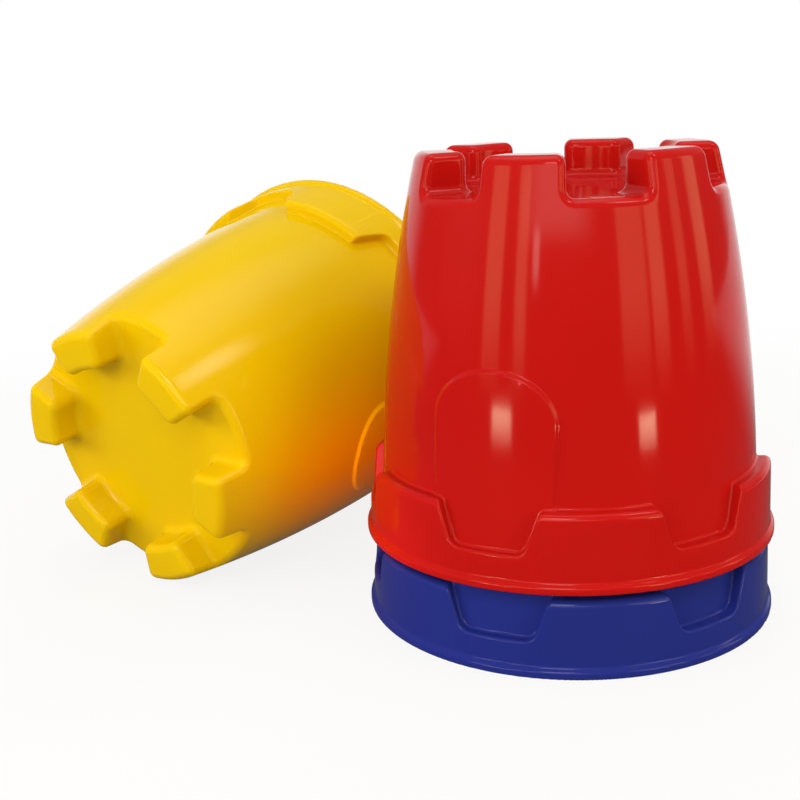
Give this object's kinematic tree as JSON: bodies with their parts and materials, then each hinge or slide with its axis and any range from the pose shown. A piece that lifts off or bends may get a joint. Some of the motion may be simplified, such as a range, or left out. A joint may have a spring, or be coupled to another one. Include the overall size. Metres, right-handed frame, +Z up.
{
  "type": "castle sand mould set",
  "caption": "Castle-tower sand moulds: one stands mouth down, one is nested over it, one lies beside them. Filled with damp sand and turned over, each shapes a tower.",
  "frame": {"origin": "on the floor, at the centre of the whole set's bounding box", "axes": "+Z up from the floor, +X to the right along the set's longest extent, with the nested pair at the right and the lying mould at the left; the front faces -Y"},
  "size_m": [0.2866, 0.2454, 0.1665],
  "materials": {
    "blue_plastic": "glossy moulded polypropylene, deep blue",
    "red_plastic": "glossy moulded polypropylene, signal red",
    "yellow_plastic": "glossy moulded polypropylene, warm yellow"
  },
  "bodies": {
    "blue": {"blue_mould": "blue_plastic"},
    "red": {"red_mould": "red_plastic"},
    "yellow": {"yellow_mould": "yellow_plastic"}
  },
  "joints": [
    {"name": "red_lift", "type": "slide", "parent": "blue", "child": "red", "axis": [0, 0, 1], "range_m": [0, 0.12]},
    {"name": "yellow_lift", "type": "slide", "parent": "blue", "child": "yellow", "axis": [0, 0, 1], "range_m": [0, 0.12]}
  ]
}
